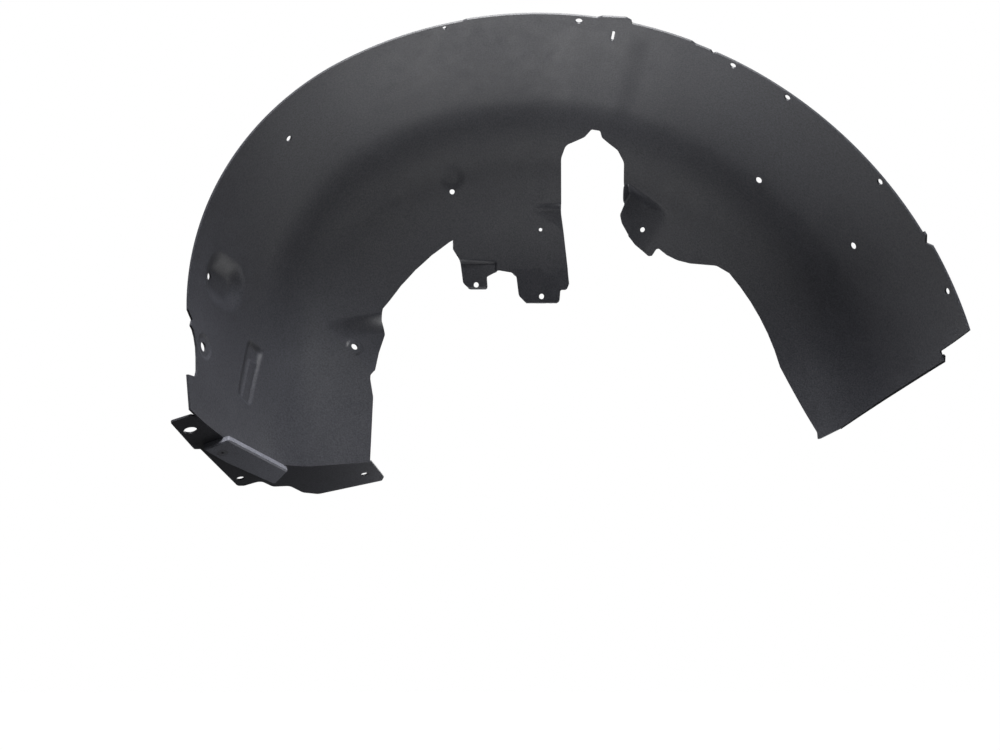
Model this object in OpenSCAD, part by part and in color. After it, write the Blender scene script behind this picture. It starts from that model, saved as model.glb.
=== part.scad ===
// Inner wheel arch liner: a thin moulded shell that follows the arch over a wheel,
// with a strut slot, screw seats, a turned flange at the sill end and a sealing pad.
// Model axes: X along the vehicle, Y inboard along the axle, Z up.
// The arch is drawn about the wheel's axle line, and then moved to the crown hole.

/* [Arch] */
// Radius of the lip over the top of the wheel
crown_r = 384.5; // [370:0.5:400]
// Radius of the lip on the sill side, where the arch closes in
sill_r = 275; // [262:1:290]
// Radius of the lip on the bumper side, where the arch opens out
bumper_r = 414.5; // [400:0.5:440]
// Angle where the crown arc passes into the sill arc
sill_joint = 122; // [118:1:126]
// Angle where the crown arc passes into the bumper arc
bumper_joint = 65; // [61:1:67]
// Angle where the sill arc ends and the straight run starts
sill_end = 188; // [184:1:190]
// Height of the sill flange at the lip, from the axle line
flange_z = -35; // [-50:1:-25]

/* [Section] */
// Thickness of the moulded sheet
wall = 2; // [1.6:0.1:3]
// Draft of the roof at the lip, from the axle direction
lip_draft = 6; // [4:0.5:8]
// Slope of the roof where the shoulder starts
roof_slope = 20; // [16:1:24]
// Depth of the roof, from the lip to the shoulder
roof_depth = 110; // [95:1:120]
// Radius of the shoulder between the roof and the inner wall
shoulder_r = 110; // [95:1:125]
// Slope of the inner wall, from the axle direction
wall_slope = 64; // [58:1:68]

/* [Lip] */
// How far the crown's lip stands out past the rest
crown_lip = 1.2; // [0.4:0.2:3]
// Width of the small tab on the crown's lip
lip_tab_w = 29; // [20:1:40]
// How far that tab stands out
lip_tab_h = 8; // [5:0.5:10]
// How far the lip is cut back at the sill end
relief_cut = 14; // [8:1:18]
// Length of that cut
relief_len = 46; // [38:1:50]
// Size of the notches in the lip
lip_notch = 4; // [2:0.5:6]

/* [Inner edge] */
// Place of the inner edge at the sill end, along X
sill_edge_x = -184; // [-190:1:-180]
// Radius of the inner edge on the bumper side
bumper_edge_r = 285.5; // [280:0.5:292]
// Height of the lower edge of the strut panel
panel_z = 192; // [187:1:200]
// Reach of the narrow lug below the panel
left_lug_h = 21; // [16:1:26]
// Width of the narrow lug
left_lug_w = 28; // [24:1:32]
// Reach of the broad lug below the panel
mid_lug_h = 34; // [28:1:38]
// Width of the broad lug
mid_lug_w = 50; // [44:1:54]
// How far the broad lug is set inboard at its fold
lug_set = 10; // [6:1:12]

/* [Strut slot] */
// Centre of the slot, along X
slot_x = 70.5; // [66:0.5:74]
// Width of the slot
slot_w = 73.5; // [66:0.5:78]
// Height of the slot's rounded top
slot_top = 330; // [322:1:335]
// Width of the notch in the slot's top
slot_notch_w = 20; // [16:1:24]
// Height of that notch
slot_notch_h = 5.5; // [3:0.5:9]
// Width of the channel above the slot
channel_w = 76; // [70:1:80]
// Depth of the channel
channel_h = 4; // [2.5:0.5:5]

/* [Formed recesses] */
// Diameter of the oval dish at its mouth
dish_d = 56; // [48:1:60]
// Extra length of the dish, inboard
dish_len = 18; // [10:1:24]
// Depth of the dish
dish_h = 8; // [5:0.5:10]
// Diameter of the round dimple beside the strut panel
dimple_d = 30; // [24:1:36]
// Depth of that dimple
dimple_h = 2.5; // [1.5:0.5:4]
// Length of the bare plaque
plaque_l = 76; // [66:1:84]
// Width of the plaque
plaque_w = 27; // [22:1:30]
// Depth of the plaque
plaque_h = 4.5; // [3:0.5:6]
// Length of the screw seat at the sill side's inner edge
sill_seat_l = 50; // [44:1:54]
// Depth of that seat at its upper wall
sill_seat_h = 14; // [10:1:18]
// Width of the seats on each side of the strut slot
slot_seat_w = 38; // [32:1:42]

/* [Holes] */
// Hole on the crown that sets the part's place
crown_hole_d = 7.5; // [6:0.5:9]
// Screw holes along the lip
lip_hole_d = 6.5; // [5:0.5:8]
// Depth of those holes from the lip
lip_hole_y = 6; // [5:0.5:10]
// Clip holes in the wall
clip_hole_d = 7.5; // [6:0.5:9]
// Screw holes in the lugs and the seats
lug_hole_d = 6; // [5:0.5:7]
// Stud hole in the sill seat
seat_hole_d = 8; // [6:0.5:9]
// Jack point hole in the straight run
run_hole_d = 10; // [8:0.5:12]
// Drain hole in the crown's lip
drain_d = 4.5; // [3:0.5:6]
// Bolt hole in the flange's front tab
flange_bolt_d = 12; // [10:0.5:14]
// Screw holes in the flange
flange_hole_d = 8; // [6:0.5:10]

/* [Sill flange] */
// Dip of the flange, inboard
flange_dip = 14.5; // [12:0.5:17]
// Roll of the flange, towards the wheel
flange_roll = 16.7; // [14:0.1:19]
// Reach of the flange past the wall at its front tab
flange_reach = 24; // [20:1:28]
// Width of the flange at its inboard end
flange_back_w = 52; // [44:1:58]

/* [Sealing pad] */
// Thickness of the pad
pad_t = 6; // [4:0.5:8]
// Length of the pad
pad_l = 104; // [90:1:112]
// Width of the pad
pad_w = 27; // [22:1:30]
// Bevel round the pad's lower face
pad_bevel = 1.5; // [0.5:0.25:2.5]
// Diameter of the rivet's head
rivet_head_d = 11; // [9:0.5:13]
// Diameter of the rivet's shank
rivet_d = 6; // [5:0.5:7]
// Clearance round the rivet's shank and head
rivet_gap = 0.2; // [0.1:0.05:0.5]

/* [Hidden] */
$fn = 120;

// The section: a roof arc, a shoulder arc and a straight inner wall, tangent to each other
roof_r = roof_depth / (sin(roof_slope) - sin(lip_draft));
roof_drop = roof_r * (cos(lip_draft) - cos(roof_slope));
shoulder_y = roof_depth + shoulder_r * (sin(wall_slope) - sin(roof_slope));
shoulder_drop = roof_drop + shoulder_r * (cos(roof_slope) - cos(wall_slope));
section_depth = 262;
front_room = 14;
core_r = 5;
shoulder_set = 0.15;
shoulder_lap = 6;
punch_in = 6;
seat_in = 45;

// Inward offset of the wheel face from the lip line, and its slope, at depth y
function drop(y) =
    y < roof_depth ? roof_r * (cos(lip_draft) - cos(slope(y)))
    : y < shoulder_y ? roof_drop + shoulder_r * (cos(roof_slope) - cos(slope(y)))
    : shoulder_drop + (y - shoulder_y) * tan(wall_slope);
function slope(y) =
    y < roof_depth ? asin(sin(lip_draft) + y / roof_r)
    : y < shoulder_y ? asin(sin(roof_slope) + (y - roof_depth) / shoulder_r)
    : wall_slope;

// The path: arc centres in X and Z, and the straight run down from the sill arc.
// The stretches overlap by a small angle at each joint, with a fine witness line where they meet,
// so that they join as one solid
lap_angle = 1;
lap_step = 0.3;
function polar(r, a) = [r * cos(a), r * sin(a)];
crown_c = [0, 0];
sill_c = polar(crown_r - sill_r - lap_step, sill_joint);
bumper_c = polar(crown_r - bumper_r + lap_step, bumper_joint);
bumper_end = -8;
run_dir = [-sin(sill_end), cos(sill_end)];
run_top = sill_c + polar(sill_r, sill_end);
run_len = (run_top[1] - flange_z) / -run_dir[1] + 45;
flange_x = run_top[0] + run_dir[0] * (flange_z - run_top[1]) / run_dir[1];

// The crown hole is the origin of the frame
crown_hole_a = 83.6;
crown_hole_y = 6;
origin_xz = polar(crown_r - drop(crown_hole_y) + wall / 2 * cos(slope(crown_hole_y)), crown_hole_a);
origin_y = crown_hole_y + wall / 2 * sin(slope(crown_hole_y));

// The cut at the bumper end, as a line in X and Z, and its corner step
end_cut = [366, 7.5];
end_cut_slope = 35;
end_step_y = 43;
end_step_z = 36;
end_step_rise = 6;
end_lip = 3;
end_lip_x = 366;
bead = 3;
end_along = polar(1, end_cut_slope);
end_lift = end_cut - end_along * 42;
end_inner = end_cut - end_along * 64 + [0, 4];
end_corner = [end_lift, end_inner, [end_inner[0] - 60, end_inner[1] - 1], [end_inner[0] - 60, -250]];

// Places of the lip's details, along X or Z
crown_lip_x0 = -77;
lip_end_x = 156;
lip_tab_x = 66;
relief_z = 4;
heel_out = 8;

// Rounded corners: each corner is [x, y, radius], and the arc is tangent to both sides
corner_steps = 5;
function unit(v) = v / norm(v);
function corner_arc(a, b, c, r) =
    let (u = unit([a[0] - b[0], a[1] - b[1]]), w = unit([c[0] - b[0], c[1] - b[1]]))
    norm(u + w) < 0.01 ? [[b[0], b[1]]] :
    let (half = acos(max(-1, min(1, u * w))) / 2,
        centre = [b[0], b[1]] + unit(u + w) * r / sin(half),
        from = [b[0], b[1]] + u * r / tan(half) - centre,
        to = [b[0], b[1]] + w * r / tan(half) - centre)
    [for (i = [0 : corner_steps]) centre + r * unit(from * (corner_steps - i) + to * i)];
function rounded(p) =
    let (n = len(p))
    [for (i = [0 : n - 1]) each (
        p[i][2] > 0 ? corner_arc(p[(i + n - 1) % n], p[i], p[(i + 1) % n], p[i][2])
        : [[p[i][0], p[i][1]]])];
// An outline grown outwards, for corners that run anticlockwise
function grown(p, by) =
    let (n = len(p))
    [for (i = [0 : n - 1])
        let (u = unit(p[i] - p[(i + n - 1) % n]), w = unit(p[(i + 1) % n] - p[i]))
        p[i] + by * ([u[1], -u[0]] + [w[1], -w[0]]) / (1 + u * w)];
function arc_points(c, r, from, to, steps) =
    [for (i = [0 : steps]) c + polar(r, from + (to - from) * i / steps)];

// Places on the skin: an angle about the stretch's own centre and a depth, or a drop down the run
deg_per_mm = 180 / (PI * crown_r);
channel_a0 = acos((slot_x + channel_w / 2) / crown_r);
channel_a1 = acos((slot_x - channel_w / 2) / crown_r);
channel_y = 14;
channel_slit_a = 78;
channel_slit_y = 15;
channel_slit_w = 3;
channel_slit_l = 11;
dish_a = 175;
dish_y = 64;
dish_hole_y = dish_y - 16;
dimple_a = 108.4;
dimple_y = 171;
run_hole_down = 18;
run_hole_y = 31;
plaque_down = 22;
plaque_y = 111;
plaque_turn = 12;
drain_a = 104.5;
drain_y = 4;
lip_hole_a = [59.3, 50.4, 33, 15.6];
bumper_clip = [[47.2, 116], [28.9, 86]];
sill_clip = [138.9, 46];
panel_clip = [109.3, 178];
panel_pilot = [87.6, 204];
pilot_d = 4;
notch_a = [62.6, 22.6];

// Outlines of the recesses, in the plane of each, as [x, y, corner radius]
plaque_outline = [[-plaque_l / 2, -plaque_w / 2, 4], [plaque_l / 2, -plaque_w / 2, 4],
    [plaque_l / 2, plaque_w / 2, 4], [-plaque_l / 2, plaque_w / 2, 4]];
sill_seat_run = 62;
sill_seat_y = 195;
sill_seat = [[-12, 90, 0], [-12, -34, 0], [2, -sill_seat_l - 4, 10], [64, -19, 16], [96, 0, 0], [96, 90, 0]];
sill_stud = [9, -12, 0];
left_seat_a = 85.5;
left_seat_run = 30;
left_seat_y = 200;
left_seat = [[-8, 45, 0], [-8, -20, 0], [2, -28, 6], [64, 34, 0], [64, 45, 0]];
right_seat_a = 57.7;
right_seat_y = 188;
right_seat = [[-8, 20, 0], [-8, -60, 0], [60, -60, 0], [60, 30, 0], [4, 26, 6]];
right_seat_hole = [17.5, -6, 0];
slot_seat_h = 8;

// The strut panel and its two lugs, in X and Z; the panel ends at the slot's left side
left_lug_x = -68;
mid_lug_x = 12;
mid_fold_y = 226;
mid_set = 2 * lug_set;
left_fold_y = 222;
left_hole_z = 176;
mid_hole_z = 165;
panel_x0 = -95.5;
panel_x1 = slot_x - slot_w / 2;
left_lug_z = panel_z - left_lug_h;
mid_lug_z = panel_z - mid_lug_h;
left_lug = [left_lug_x - left_lug_w / 2, left_lug_x + left_lug_w / 2];
mid_lug = [mid_lug_x - mid_lug_w / 2, mid_lug_x + mid_lug_w / 2];
panel_outline = [[panel_x0, 250, 0], [panel_x0, 212, 3], [left_lug[0] - 5, panel_z + 8, 5],
    [left_lug[0] - 2, left_lug_z + 7, 6], [left_lug[0] + 6, left_lug_z, 5], [left_lug[1], left_lug_z, 3],
    [left_lug[1] - 1, panel_z - 7, 2], [left_lug[1] + 13, panel_z, 6], [mid_lug[0] - 12, panel_z - 2, 5],
    [mid_lug[0] - 6, panel_z - 6, 3], [mid_lug[0] - 3, mid_lug_z + 8, 6], [mid_lug[0] + 6, mid_lug_z, 5],
    [mid_lug[1] - 3, mid_lug_z, 4], [mid_lug[1] - 2, mid_lug_z + 14, 2], [panel_x1 + 9, mid_lug_z + 14, 4],
    [panel_x1 + 12, mid_lug_z + 21, 5], [panel_x1 + 1, 256, 0]];

// The open window under the arch, in X and Z
pocket_c = [sill_edge_x + 220, 19];
pocket_r = 242;
window_outline = concat([[sill_edge_x, -130, 0], [sill_edge_x, 28, 20], [sill_edge_x - 4, 49, 2],
    [sill_edge_x - 4, 54, 1.5], [sill_edge_x + 0.5, 61, 3], [sill_edge_x + 3, 84, 30],
    [sill_edge_x + 8, 110, 8], [sill_edge_x + 5, 124, 6], [sill_edge_x + 7, 136, 4]],
    [for (p = arc_points(pocket_c, pocket_r, 149, 118, 5)) [p[0], p[1], 0]],
    [[panel_x0, 217, 1.5], [-50, 245, 0], [96, 245, 0], [115, 228, 8], [123, 216, 12], [138, 201, 3],
    [142, 201, 1.5], [148, 209.5, 3], [159, 200, 10], [171, 193, 20], [185, 188, 20], [214, 182, 14]],
    [for (p = arc_points([0, 0], bumper_edge_r, 37, 12, 6)) [p[0], p[1], 0]],
    [[300, 8, 30], [311, -18, 8], [311, -130, 0]]);

// The strut slot, in X and Z: slanting at the panel, arched shoulders, a notch, and a hollow at the right
slot_left = slot_x - slot_w / 2;
slot_right = slot_x + slot_w / 2;
slot_corners = [[slot_left + 13, 60, 0], [slot_left + 13, 170, 0], [slot_left + 1, 256, 40],
    [slot_left, slot_top - 18, 10], [slot_left + 5, slot_top - 6, 8], [slot_x - slot_notch_w / 2, slot_top, 8],
    [slot_x - 2.5, slot_top + slot_notch_h, 3], [slot_x + 7.5, slot_top + slot_notch_h - 2, 3],
    [slot_x + slot_notch_w / 2, slot_top - 2, 4], [slot_right - 8, slot_top - 15, 12],
    [slot_right, slot_top - 27, 10], [slot_right + 0.5, slot_top - 48, 20], [slot_right + 3.5, slot_top - 65, 4],
    [slot_right - 1.5, slot_top - 76, 6], [slot_right + 0.5, slot_top - 86, 10], [slot_right + 8, slot_top - 101, 0],
    [slot_right + 8, 60, 0]];

// The flange, the pad and their holes, in the flange's own plane
flange_outline = [[-flange_reach, 5, 3], [-flange_reach, 65, 3], [5 - flange_reach, 68, 2],
    [9 - flange_reach, 167, 6], [-9, 171, 3], [9, 171, 8], [16, 193, 10], [32, 203, 12],
    [40, 203 + flange_back_w / 2, 14], [54, 193 + flange_back_w, 10], [127, 207 + flange_back_w, 2],
    [131, 199 + flange_back_w, 2], [126, 202, 0], [-4, 4, 0]];
flange_bolt = [-14, 29, 0];
flange_screws = [[-7, 152, 0], [112, 229, 0]];
pad_x = -14.5;
pad_y = 61;
pad_outline = [[pad_x, pad_y, 2], [pad_x + pad_w, pad_y - 3, 2], [pad_x + pad_w + 30, pad_y + pad_l - 9, 3],
    [pad_x + pad_w + 9, pad_y + pad_l + 13, 3], [pad_x + 9, pad_y + 38, 4]];
rivet_at = [-1, 77, 0];
rivet_head_t = 2;
rivet_pit_d = 3;
rivet_tip_l = 7;

// Filled half section in radius and depth, grown outwards by the given amount. The shoulder stands out
// by a hair and overlaps its neighbours, so that the three parts cross cleanly.
module section_fill(lip_r, grow, front = -front_room) {
    roof_end = roof_depth + grow * sin(roof_slope);
    shoulder_end = shoulder_y + grow * sin(wall_slope);
    shoulder_c = [lip_r - roof_drop - shoulder_r * cos(roof_slope), roof_depth - shoulder_r * sin(roof_slope)];
    wall_start = lip_r - shoulder_drop + grow * cos(wall_slope);
    back = min(section_depth + grow, shoulder_end + (wall_start - core_r - 1) / tan(wall_slope));
    intersection() {
        translate([lip_r - roof_r * cos(lip_draft), -roof_r * sin(lip_draft)]) circle(roof_r + grow, $fn = 720);
        translate([core_r, front]) square([lip_r, roof_end - front]);
    }
    intersection() {
        translate(shoulder_c + polar(shoulder_set, (roof_slope + wall_slope) / 2))
            circle(shoulder_r + grow, $fn = 240);
        translate([shoulder_c[0] - shoulder_lap, roof_end - shoulder_lap])
            square([lip_r, shoulder_end - roof_end + 2 * shoulder_lap]);
    }
    translate([core_r, roof_end - shoulder_lap])
        square([shoulder_c[0] - core_r, shoulder_end - roof_end + 2 * shoulder_lap]);
    polygon([[core_r, shoulder_end], [wall_start, shoulder_end],
        [wall_start - (back - shoulder_end) * tan(wall_slope), back], [core_r, back]]);
}

// A stretch of the arch, turned about its own centre
module arch_stretch(centre, lip_r, from, to, grow, front = -front_room) {
    translate([centre[0], 0, centre[1]]) rotate([90, 0, 0])
        rotate_extrude(angle = to - from, start = from) mirror([0, 1]) section_fill(lip_r, grow, front);
}

// The straight run down to the sill flange
module straight_run(grow) {
    translate([sill_c[0], 0, sill_c[1]]) rotate([0, -sill_end, 0])
        linear_extrude(run_len) section_fill(sill_r + lap_step, grow);
}

// Puts its children on the wheel face: x runs towards the bumper, y inboard and z to the body side
module on_skin(centre, lip_r, angle, depth) {
    translate([centre[0], 0, centre[1]]) rotate([0, -angle, 0])
        translate([lip_r - drop(depth), depth, 0]) rotate([0, 0, slope(depth)]) rotate([0, 90, 0])
            children();
}
module on_run(down, depth) {
    on_skin(sill_c + run_dir * down, sill_r, sill_end, depth) children();
}

// A dish with conical sides, stretched along y
module dish(mouth_r, floor_r, depth, length, grow) {
    lean = (mouth_r - floor_r) / depth;
    side = grow * sqrt(1 + lean * lean);
    top = depth + grow;
    r_in = mouth_r + lean * punch_in + side;
    r_top = mouth_r - lean * top + side;
    for (end = length > 0 ? [-1, 1] : [0])
        translate([0, end * length / 2, -punch_in]) cylinder(r1 = r_in, r2 = r_top, h = top + punch_in);
    if (length > 0)
        rotate([90, 0, 0]) translate([0, 0, -length / 2]) linear_extrude(length)
            polygon([[-r_in, -punch_in], [r_in, -punch_in], [r_top, top], [-r_top, top]]);
}

// A recess with a flat floor, from an outline
module flat_recess(outline, depth, inside, grow) {
    translate([0, 0, -inside]) linear_extrude(inside + depth + grow) polygon(grown(outline, grow));
}

// The screw seats: a flat floor leaves the skin at a crease and falls away from it along x
module on_sill_seat() {
    on_skin(sill_c, sill_r, sill_end, sill_seat_y) rotate([0, 0, 47])
        rotate([0, -atan(sill_seat_h / sill_seat_run), 0]) children();
}
module on_left_seat() {
    on_skin(crown_c, crown_r, left_seat_a, left_seat_y) rotate([0, 0, -56])
        rotate([0, -atan(slot_seat_h / left_seat_run), 0]) children();
}
module on_right_seat() {
    on_skin(bumper_c, bumper_r, right_seat_a, right_seat_y) rotate([0, 0, 180])
        rotate([0, -atan(slot_seat_h / slot_seat_w), 0]) children();
}

// The lugs are set inboard below a fold, so that they face the wheel squarely
module lug_set_back(x0, x1, fold_z, fold_y, set, grow) {
    outline = [[fold_y - seat_in, fold_z - 70], [fold_y + set, fold_z - 70],
        [fold_y + set, fold_z - set], [fold_y, fold_z], [fold_y - seat_in, fold_z]];
    translate([x0 - grow, 0, 0]) rotate([90, 0, 90]) linear_extrude(x1 - x0 + 2 * grow)
        polygon(grown(outline, grow));
}

// The filled form of the arch with everything that is pressed outwards from it
module arch_form(grow) {
    arch_stretch(crown_c, crown_r, bumper_joint - lap_angle, sill_joint, grow);
    arch_stretch(sill_c, sill_r, sill_joint - lap_angle, sill_end + lap_angle, grow);
    arch_stretch(bumper_c, bumper_r, bumper_end, bumper_joint, grow);
    straight_run(grow);
    arch_stretch(crown_c, crown_r, channel_a0 - grow * deg_per_mm, channel_a1 + grow * deg_per_mm,
        grow + channel_h, channel_y - grow);
    on_skin(sill_c, sill_r, dish_a, dish_y) dish(dish_d / 2, dish_d / 4, dish_h, dish_len, grow);
    on_run(run_hole_down, run_hole_y) dish(run_hole_d + 4, run_hole_d, 2, 0, grow);
    on_skin(crown_c, crown_r, dimple_a, dimple_y) dish(dimple_d / 2, dimple_d / 4, dimple_h, 0, grow);
    on_run(plaque_down, plaque_y) rotate([0, 0, plaque_turn])
        flat_recess(rounded(plaque_outline), plaque_h, punch_in, grow);
    on_sill_seat() flat_recess(rounded(sill_seat), 0, seat_in, grow);
    on_left_seat() flat_recess(rounded(left_seat), 0, seat_in, grow);
    on_right_seat() flat_recess(rounded(right_seat), 0, seat_in, grow);
    lug_set_back(mid_lug_x - mid_lug_w / 2 - 8, slot_x, panel_z, mid_fold_y, mid_set, grow);
    lug_set_back(left_lug_x - left_lug_w / 2 - 12, left_lug_x + left_lug_w / 2 + 10, panel_z + 8,
        left_fold_y, lug_set, grow);
}

// A cut through everything along Y, from an outline in X and Z
module through_y(depth = 400) {
    translate([0, depth, 0]) rotate([90, 0, 0]) linear_extrude(depth + 60) children();
}

// The inner edge: the open window under the arch, less the strut panel and its lugs
module inner_window() {
    difference() {
        polygon(rounded(window_outline));
        polygon(rounded(panel_outline));
    }
}

// Everything in front of the lip, with the crown's lip and the small tab left standing
module lip_trim() {
    tab_end = lip_tab_x + lip_tab_w;
    outline = [[-500, -60], [500, -60], [500, -end_lip], [end_lip_x, -end_lip], [end_lip_x, 0], [lip_end_x + 4, 0],
        [lip_end_x, -crown_lip * 1.5], [tab_end + 1, -crown_lip * 1.5],
        [tab_end, -lip_tab_h * 0.7], [tab_end - 6, -lip_tab_h], [lip_tab_x, -lip_tab_h / 2],
        [lip_tab_x - 5, -crown_lip], [crown_lip_x0 + 4, -crown_lip], [crown_lip_x0, 0],
        [-200, 0], [-200, -20], [-500, -20]];
    translate([0, 0, -150]) linear_extrude(700) polygon(outline);
}

// The lip at the sill end: a heel that stands out, the relief above it and a notch
module sill_trim() {
    top = relief_z + relief_len;
    outline = [[-40, -150], [2 - heel_out, -150], [2 - heel_out, flange_z - 2], [-heel_out, relief_z - 5],
        [relief_cut - 5, relief_z - 3], [relief_cut - 1.5, relief_z + 4], [relief_cut, relief_z + 18],
        [relief_cut, relief_z + 28], [relief_cut - 2, top - 9], [relief_cut - 5, top - 3],
        [relief_cut / 3, top], [relief_cut / 2 + 1.5, top + 7], [0, top + 14], [0, 470], [-40, 470]];
    translate([-500, 0, 0]) rotate([90, 0, 90]) linear_extrude(310) polygon(outline);
}

// Small V notches along the lip
module lip_notches() {
    for (a = notch_a)
        on_skin(bumper_c, bumper_r, a, 0) rotate([0, 0, 45])
            translate([0, 0, 0]) cube([lip_notch, lip_notch, 20], center = true);
}

// The cut at the bumper end: a slanting line that lifts at the inner corner, and a step at the lip
module bumper_trim() {
    through_y() polygon(concat([end_cut + end_along * 80], end_corner, [[end_cut[0] + 120, -250]]));
    translate([end_cut[0] + 12, 0, 0]) rotate([90, 0, 90]) linear_extrude(60)
        polygon([[-60, end_step_z + end_step_rise], [0, end_step_z + end_step_rise], [end_step_y, end_step_z],
            [end_step_y, -60], [-60, -60]]);
}

// The turned bead that stiffens the bumper end
module bumper_bead() {
    difference() {
        intersection() {
            difference() {
                arch_stretch(bumper_c, bumper_r, bumper_end, 20, wall + bead);
                arch_stretch(bumper_c, bumper_r, bumper_end - 1, 21, 0);
            }
            translate([end_cut[0], 0, end_cut[1]]) rotate([0, -end_cut_slope, 0])
                translate([-120, end_step_y, 0]) cube([220, 134, wall]);
        }
        through_y() polygon(concat(end_corner, [[end_lift[0], -250]]));
    }
}

module on_flange() {
    translate([flange_x, 0, flange_z]) rotate([-flange_dip, -flange_roll, 0]) children();
}

// The flange that turns outwards round the bottom of the sill side
module sill_flange() {
    difference() {
        on_flange() linear_extrude(wall) polygon(rounded(flange_outline));
        straight_run(0);
    }
}

// The moulded sheet itself, trimmed to its edges
module moulded_shell() {
    difference() {
        arch_form(wall);
        arch_form(0);
        through_y() inner_window();
        through_y() polygon(rounded(slot_corners));
        lip_trim();
        sill_trim();
        lip_notches();
        bumper_trim();
        on_flange() translate([-80, -60, -120]) cube([330, 420, 120]);
    }
}

module hole(d, reach = 12) {
    translate([0, 0, -reach]) cylinder(d = d, h = 2 * reach);
}

// Every hole in the sheet, each square to the face it is in
module liner_holes() {
    on_skin(crown_c, crown_r, crown_hole_a, crown_hole_y) hole(crown_hole_d);
    on_skin(crown_c, crown_r, drain_a, drain_y) hole(drain_d);
    for (a = lip_hole_a) on_skin(bumper_c, bumper_r, a, lip_hole_y) hole(lip_hole_d);
    for (p = bumper_clip) on_skin(bumper_c, bumper_r, p[0], p[1]) hole(clip_hole_d);
    on_skin(sill_c, sill_r, sill_clip[0], sill_clip[1]) hole(lip_hole_d);
    on_skin(sill_c, sill_r, dish_a, dish_hole_y) hole(clip_hole_d);
    on_run(run_hole_down, run_hole_y) hole(run_hole_d);
    on_skin(crown_c, crown_r, panel_clip[0], panel_clip[1]) hole(lug_hole_d);
    on_skin(crown_c, crown_r, channel_slit_a, channel_slit_y) {
        hole(channel_slit_w);
        translate([0, channel_slit_l, 0]) hole(channel_slit_w);
        translate([-channel_slit_w / 2, 0, -12]) cube([channel_slit_w, channel_slit_l, 24]);
    }
    on_sill_seat() translate(sill_stud) hole(seat_hole_d);
    on_skin(crown_c, crown_r, panel_pilot[0], panel_pilot[1]) hole(pilot_d);
    on_right_seat() translate(right_seat_hole) hole(lug_hole_d);
    translate([mid_lug_x, mid_fold_y + mid_set, mid_hole_z]) rotate([-90, 0, 0]) hole(lug_hole_d);
    translate([left_lug_x, left_fold_y + lug_set, left_hole_z]) rotate([-90, 0, 0]) hole(lug_hole_d);
    on_flange() {
        translate(flange_bolt) hole(flange_bolt_d);
        for (p = flange_screws) translate(p) hole(flange_hole_d);
        translate(rivet_at) hole(rivet_d + 2 * rivet_gap);
    }
}

module liner() {
    color([0.22, 0.23, 0.25]) difference() {
        union() {
            moulded_shell();
            sill_flange();
            bumper_bead();
        }
        liner_holes();
    }
}

// The pad lies against the flange's lower face, over the bend
module sill_pad() {
    color([0.42, 0.43, 0.46]) on_flange() difference() {
        hull() {
            translate([0, 0, -pad_t + pad_bevel]) linear_extrude(pad_t - pad_bevel) polygon(rounded(pad_outline));
            translate([0, 0, -pad_t]) linear_extrude(1) polygon(grown(rounded(pad_outline), -pad_bevel));
        }
        translate(rivet_at) hole(rivet_d + 2 * rivet_gap);
        translate([rivet_at[0], rivet_at[1], -pad_t - 1])
            cylinder(d = rivet_head_d + 2 * rivet_gap, h = rivet_head_t + 1);
    }
}

// The push rivet: a head sunk in the pad, a shank and a splayed tip above the flange
module pad_rivet() {
    head_z = -pad_t + rivet_head_t;
    color([0.12, 0.12, 0.13]) on_flange() translate(rivet_at) difference() {
        union() {
            translate([0, 0, head_z - rivet_head_t]) cylinder(d = rivet_head_d, h = rivet_head_t);
            translate([0, 0, head_z]) cylinder(d = rivet_d, h = wall - head_z + rivet_tip_l);
            translate([0, 0, wall]) cylinder(d1 = rivet_d + 3, d2 = rivet_d - 1.5, h = rivet_tip_l);
        }
        translate([0, 0, -pad_t - 1]) cylinder(d = rivet_pit_d, h = rivet_head_t + 3);
    }
}

// Sets the crown hole at the frame's origin
module in_frame() {
    translate([-origin_xz[0], -origin_y, -origin_xz[1]]) children();
}

in_frame() liner();
in_frame() sill_pad();
in_frame() pad_rivet();
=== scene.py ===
"""Inner wheel arch liner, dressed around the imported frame.

Metres, in the frame's own axes: X along the vehicle, Y inboard, Z up, with the origin at the crown hole.
"""
import math

import bpy
import mathutils
import numpy as np
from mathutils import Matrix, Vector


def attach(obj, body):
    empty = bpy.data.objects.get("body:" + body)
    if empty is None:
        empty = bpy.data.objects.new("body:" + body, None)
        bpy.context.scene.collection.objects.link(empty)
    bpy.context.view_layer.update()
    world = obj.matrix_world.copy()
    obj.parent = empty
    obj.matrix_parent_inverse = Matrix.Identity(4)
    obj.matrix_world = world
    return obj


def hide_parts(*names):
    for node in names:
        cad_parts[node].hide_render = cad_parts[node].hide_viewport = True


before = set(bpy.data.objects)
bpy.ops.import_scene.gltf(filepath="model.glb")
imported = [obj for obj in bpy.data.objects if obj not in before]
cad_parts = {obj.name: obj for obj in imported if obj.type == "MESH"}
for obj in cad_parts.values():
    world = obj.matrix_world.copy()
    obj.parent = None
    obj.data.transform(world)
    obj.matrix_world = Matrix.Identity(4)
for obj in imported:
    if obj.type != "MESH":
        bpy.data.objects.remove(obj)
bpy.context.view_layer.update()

scene = bpy.context.scene


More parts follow.
